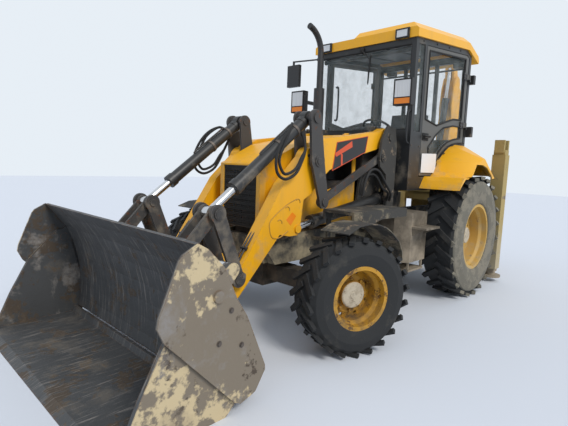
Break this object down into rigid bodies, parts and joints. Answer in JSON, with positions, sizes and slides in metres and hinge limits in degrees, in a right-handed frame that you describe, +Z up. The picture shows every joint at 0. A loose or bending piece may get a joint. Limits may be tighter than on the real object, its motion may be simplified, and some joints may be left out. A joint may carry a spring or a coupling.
{
  "type": "backhoe loader",
  "caption": "Wheeled backhoe loader with a closed cab, levelling loader arms, a clam loader bucket, a side-shift backhoe folded behind the cab and two stabilisers.",
  "frame": {"origin": "middle of the outer box at ground level", "axes": "+X forwards towards the loader bucket, +Y to the machine's left, +Z up"},
  "size_m": [6.4216, 2.7156, 3.139],
  "materials": {
    "body_yellow": "worn gloss yellow",
    "frame_grey": "satin, dirt covered",
    "cab_black": "satin",
    "bucket_steel": "worn, rust and scratches",
    "cylinder_black": "satin",
    "rod_chrome": "polished",
    "tyre_black": "dusty",
    "pane": "clear",
    "seat_fabric": "woven",
    "lamp_plastic": "gloss",
    "engine_iron": "cast"
  },
  "bodies": {
    "chassis": {"chassis": "frame_grey", "engine": "engine_iron", "front_axle": "frame_grey", "rear_axle": "frame_grey", "cab_frame": "cab_black", "roof": "body_yellow", "cab_glass": "pane", "interior": "seat_fabric", "rear_fenders": "body_yellow", "tanks": "frame_grey", "exhaust": "cab_black", "lamps": "lamp_plastic"},
    "hood": {"hood": "body_yellow", "grille": "cab_black"},
    "knuckle_left": {"knuckle_left": "frame_grey"},
    "knuckle_right": {"knuckle_right": "frame_grey"},
    "front_wheel_left": {"rim_front_left": "body_yellow", "tyre_front_left": "tyre_black"},
    "front_wheel_right": {"rim_front_right": "body_yellow", "tyre_front_right": "tyre_black"},
    "rear_wheel_left": {"rim_rear_left": "body_yellow", "tyre_rear_left": "tyre_black"},
    "rear_wheel_right": {"rim_rear_right": "body_yellow", "tyre_rear_right": "tyre_black"},
    "door_left": {"door_left": "cab_black", "door_glass_left": "pane"},
    "door_right": {"door_right": "cab_black", "door_glass_right": "pane"},
    "loader_arms": {"loader_arms": "body_yellow"},
    "levers": {"levers": "bucket_steel"},
    "level_links": {"level_links": "bucket_steel"},
    "lift_barrels": {"lift_barrels": "cylinder_black"},
    "lift_rods": {"lift_rods": "rod_chrome"},
    "barrel_pins": {"barrel_pins": "bucket_steel"},
    "dump_barrels": {"dump_barrels": "cylinder_black"},
    "dump_rods": {"dump_rods": "rod_chrome"},
    "crank_pins": {"crank_pins": "bucket_steel"},
    "bell_cranks": {"bell_cranks": "bucket_steel"},
    "link_pins": {"link_pins": "bucket_steel"},
    "bucket_links": {"bucket_links": "bucket_steel"},
    "bucket_pins": {"bucket_pins": "bucket_steel"},
    "bucket_back": {"bucket_back": "bucket_steel"},
    "bucket_jaw": {"bucket_jaw": "bucket_steel"},
    "jaw_barrels": {"jaw_barrels": "cylinder_black"},
    "jaw_rods": {"jaw_rods": "rod_chrome"},
    "stabiliser_leg_left": {"stabiliser_leg_left": "frame_grey"},
    "stabiliser_leg_right": {"stabiliser_leg_right": "frame_grey"},
    "carriage": {"carriage": "frame_grey"},
    "kingpost": {"kingpost": "frame_grey"},
    "boom": {"boom": "body_yellow"},
    "boom_barrel": {"boom_barrel": "cylinder_black"},
    "boom_rod": {"boom_rod": "rod_chrome"},
    "dipper": {"dipper": "body_yellow"},
    "dipper_barrel": {"dipper_barrel": "cylinder_black"},
    "dipper_rod": {"dipper_rod": "rod_chrome"},
    "rocker": {"rocker": "bucket_steel"},
    "hoe_link": {"hoe_link": "bucket_steel"},
    "hoe_bucket": {"hoe_bucket": "bucket_steel"},
    "curl_barrel": {"curl_barrel": "cylinder_black"},
    "curl_rod": {"curl_rod": "rod_chrome"}
  },
  "joints": [
    {"name": "hood_open", "type": "hinge", "parent": "chassis", "child": "hood", "pos_m": [0.2278, 0, 1.784], "axis": [0, -1, 0], "range_deg": [0, 50]},
    {"name": "steer_left", "type": "hinge", "parent": "chassis", "child": "knuckle_left", "pos_m": [1.1738, 0.888, 0.461], "axis": [0, 0, 1], "range_deg": [-18.6, 57.4]},
    {"name": "steer_right", "type": "hinge", "parent": "chassis", "child": "knuckle_right", "pos_m": [1.1738, -0.888, 0.461], "axis": [0, 0, 1], "range_deg": [-18.61, 57.41]},
    {"name": "front_wheel_left_roll", "type": "hinge", "parent": "knuckle_left", "child": "front_wheel_left", "pos_m": [1.23093, 1.05023, 0.461], "axis": [0.3322, 0.9432, 0], "continuous": true},
    {"name": "rear_wheel_left_roll", "type": "hinge", "parent": "chassis", "child": "rear_wheel_left", "pos_m": [-1.1342, 0.96, 0.698], "axis": [0, 1, 0], "continuous": true},
    {"name": "door_left_open", "type": "hinge", "parent": "chassis", "child": "door_left", "pos_m": [-1.6862, 0.683, 2], "axis": [0, 0, 1], "range_deg": [0, 75]},
    {"name": "front_wheel_right_roll", "type": "hinge", "parent": "knuckle_right", "child": "front_wheel_right", "pos_m": [1.11667, -1.05023, 0.461], "axis": [0.3322, 0.9432, 0], "continuous": true},
    {"name": "rear_wheel_right_roll", "type": "hinge", "parent": "chassis", "child": "rear_wheel_right", "pos_m": [-1.1342, -0.96, 0.698], "axis": [0, 1, 0], "continuous": true},
    {"name": "door_right_open", "type": "hinge", "parent": "chassis", "child": "door_right", "pos_m": [-1.6862, -0.683, 2], "axis": [0, 0, -1], "range_deg": [0, 75]},
    {"name": "lift", "type": "hinge", "parent": "chassis", "child": "loader_arms", "pos_m": [-0.0542, 0, 1.765], "axis": [0, -1, 0], "range_deg": [0, 73]},
    {"name": "lever_turn", "type": "hinge", "parent": "loader_arms", "child": "levers", "pos_m": [1.1008, 0, 1.484], "axis": [0, -1, 0], "range_deg": [-43.81, 0.01]},
    {"name": "level_link_turn", "type": "hinge", "parent": "chassis", "child": "level_links", "pos_m": [0.0608, 0, 1.555], "axis": [0, -1, 0], "range_deg": [-0.01, 82.15]},
    {"name": "lift_barrel_turn", "type": "hinge", "parent": "chassis", "child": "lift_barrels", "pos_m": [-0.1192, 0, 1.13], "axis": [0, -1, 0], "range_deg": [-0.01, 63.24]},
    {"name": "lift_rod_slide", "type": "slide", "parent": "lift_barrels", "child": "lift_rods", "axis": [0.9872, 0, -0.1598], "range_m": [-0.0001, 0.71932]},
    {"name": "barrel_pin_turn", "type": "hinge", "parent": "levers", "child": "barrel_pins", "pos_m": [1.1508, 0, 1.844], "axis": [0, -1, 0], "range_deg": [-0.01, 38.9]},
    {"name": "dump_barrel_turn", "type": "hinge", "parent": "barrel_pins", "child": "dump_barrels", "pos_m": [1.1508, 0, 1.844], "axis": [0, -1, 0], "range_deg": [-5.44, 1.64]},
    {"name": "dump_rod_slide", "type": "slide", "parent": "dump_barrels", "child": "dump_rods", "axis": [0.7982, 0, -0.6024], "range_m": [-0.14435, 0.48092]},
    {"name": "crank_pin_turn", "type": "hinge", "parent": "loader_arms", "child": "crank_pins", "pos_m": [1.9508, 0, 0.59], "axis": [0, -1, 0], "range_deg": [-26.62, 0.01]},
    {"name": "bell_crank_turn", "type": "hinge", "parent": "crank_pins", "child": "bell_cranks", "pos_m": [1.9508, 0, 0.59], "axis": [0, 1, 0], "range_deg": [-18.01, 60.01]},
    {"name": "link_pin_turn", "type": "hinge", "parent": "bell_cranks", "child": "link_pins", "pos_m": [2.1538, 0, 1.087], "axis": [0, -1, 0], "range_deg": [-0.01, 26.62]},
    {"name": "bucket_link_turn", "type": "hinge", "parent": "link_pins", "child": "bucket_links", "pos_m": [2.1538, 0, 1.087], "axis": [0, 1, 0], "range_deg": [-60.01, 18.01]},
    {"name": "bucket_pin_turn", "type": "hinge", "parent": "loader_arms", "child": "bucket_pins", "pos_m": [2.1578, 0, 0.371], "axis": [0, -1, 0], "range_deg": [-26.62, 0.01]},
    {"name": "tilt", "type": "hinge", "parent": "bucket_pins", "child": "bucket_back", "pos_m": [2.1578, 0, 0.371], "axis": [0, 1, 0], "range_deg": [-18, 60]},
    {"name": "jaw_open", "type": "hinge", "parent": "bucket_back", "child": "bucket_jaw", "pos_m": [2.5958, 0, 0.735], "axis": [0, -1, 0], "range_deg": [0, 55]},
    {"name": "jaw_barrel_turn", "type": "hinge", "parent": "bucket_back", "child": "jaw_barrels", "pos_m": [2.2858, 0, 0.2], "axis": [0, -1, 0], "range_deg": [-0.01, 1.75]},
    {"name": "jaw_rod_slide", "type": "slide", "parent": "jaw_barrels", "child": "jaw_rods", "axis": [0.2798, 0, 0.9601], "range_m": [-0.15463, 0.0001]},
    {"name": "stabiliser_left_down", "type": "slide", "parent": "chassis", "child": "stabiliser_leg_left", "axis": [0, 0, -1], "range_m": [0, 0.55]},
    {"name": "stabiliser_right_down", "type": "slide", "parent": "chassis", "child": "stabiliser_leg_right", "axis": [0, 0, -1], "range_m": [0, 0.55]},
    {"name": "side_shift", "type": "slide", "parent": "chassis", "child": "carriage", "axis": [0, 1, 0], "range_m": [-0.5, 0.5]},
    {"name": "swing", "type": "hinge", "parent": "carriage", "child": "kingpost", "pos_m": [-2.3842, 0, 0.7], "axis": [0, 0, 1], "range_deg": [-85, 85]},
    {"name": "boom_down", "type": "hinge", "parent": "kingpost", "child": "boom", "pos_m": [-2.5842, 0, 0.56], "axis": [0, -1, 0], "range_deg": [0, 95]},
    {"name": "boom_barrel_turn", "type": "hinge", "parent": "kingpost", "child": "boom_barrel", "pos_m": [-2.5192, 0, 0.8], "axis": [0, -1, 0], "range_deg": [-0.01, 107.25]},
    {"name": "boom_rod_slide", "type": "slide", "parent": "boom_barrel", "child": "boom_rod", "axis": [-0.0197, 0, 0.9998], "range_m": [-0.0001, 0.31297]},
    {"name": "dipper_out", "type": "hinge", "parent": "boom", "child": "dipper", "pos_m": [-2.7342, 0, 2.79], "axis": [0, 1, 0], "range_deg": [0, 105]},
    {"name": "dipper_barrel_turn", "type": "hinge", "parent": "boom", "child": "dipper_barrel", "pos_m": [-2.4342, 0, 1.69], "axis": [0, -1, 0], "range_deg": [-11.96, 0.01]},
    {"name": "dipper_rod_slide", "type": "slide", "parent": "dipper_barrel", "child": "dipper_rod", "axis": [-0.1684, 0, 0.9857], "range_m": [-0.42024, 0.0001]},
    {"name": "hoe_bucket_out", "type": "hinge", "parent": "dipper", "child": "hoe_bucket", "pos_m": [-2.9942, 0, 1.4], "axis": [0, 1, 0], "range_deg": [0, 110]},
    {"name": "rocker_turn", "type": "hinge", "parent": "dipper", "child": "rocker", "pos_m": [-2.94272, 0, 1.67523], "axis": [0, 1, 0], "range_deg": [-0.01, 110.01]},
    {"name": "hoe_link_turn", "type": "hinge", "parent": "rocker", "child": "hoe_link", "pos_m": [-3.11536, 0, 1.50851], "axis": [0, 1, 0], "range_deg": [-110.01, 0.01]},
    {"name": "curl_barrel_turn", "type": "hinge", "parent": "dipper", "child": "curl_barrel", "pos_m": [-2.935, 0, 2.61392], "axis": [0, -1, 0], "range_deg": [-5.14, 0.01]},
    {"name": "curl_rod_slide", "type": "slide", "parent": "curl_barrel", "child": "curl_rod", "axis": [-0.161, 0, -0.9869], "range_m": [-0.39504, 0.0001]}
  ],
  "couplings": [
    {"joint": "steer_right", "follows": "steer_left", "ratio": 1},
    {"joint": "lever_turn", "follows": "lift", "ratio": -0.60007},
    {"joint": "level_link_turn", "follows": "lift", "ratio": 1.1251},
    {"joint": "lift_barrel_turn", "follows": "lift", "ratio": 0.86615},
    {"joint": "lift_rod_slide", "follows": "lift", "m_per_rad": 0.5645},
    {"joint": "barrel_pin_turn", "follows": "lift", "ratio": 0.53277},
    {"joint": "dump_barrel_turn", "follows": "tilt", "ratio": -0.090495},
    {"joint": "dump_rod_slide", "follows": "tilt", "m_per_rad": 0.45915},
    {"joint": "crank_pin_turn", "follows": "lift", "ratio": -0.36446},
    {"joint": "bell_crank_turn", "follows": "tilt", "ratio": 1},
    {"joint": "link_pin_turn", "follows": "lift", "ratio": 0.36446},
    {"joint": "bucket_link_turn", "follows": "tilt", "ratio": -1},
    {"joint": "bucket_pin_turn", "follows": "lift", "ratio": -0.36446},
    {"joint": "jaw_barrel_turn", "follows": "jaw_open", "ratio": 0.031616},
    {"joint": "jaw_rod_slide", "follows": "jaw_open", "m_per_rad": -0.16098},
    {"joint": "boom_barrel_turn", "follows": "boom_down", "ratio": 1.1289},
    {"joint": "boom_rod_slide", "follows": "boom_down", "m_per_rad": 0.18869},
    {"joint": "dipper_barrel_turn", "follows": "dipper_out", "ratio": -0.11383},
    {"joint": "dipper_rod_slide", "follows": "dipper_out", "m_per_rad": -0.22926},
    {"joint": "rocker_turn", "follows": "hoe_bucket_out", "ratio": 1},
    {"joint": "hoe_link_turn", "follows": "hoe_bucket_out", "ratio": -1},
    {"joint": "curl_barrel_turn", "follows": "hoe_bucket_out", "ratio": -0.046676},
    {"joint": "curl_rod_slide", "follows": "hoe_bucket_out", "m_per_rad": -0.20571}
  ]
}
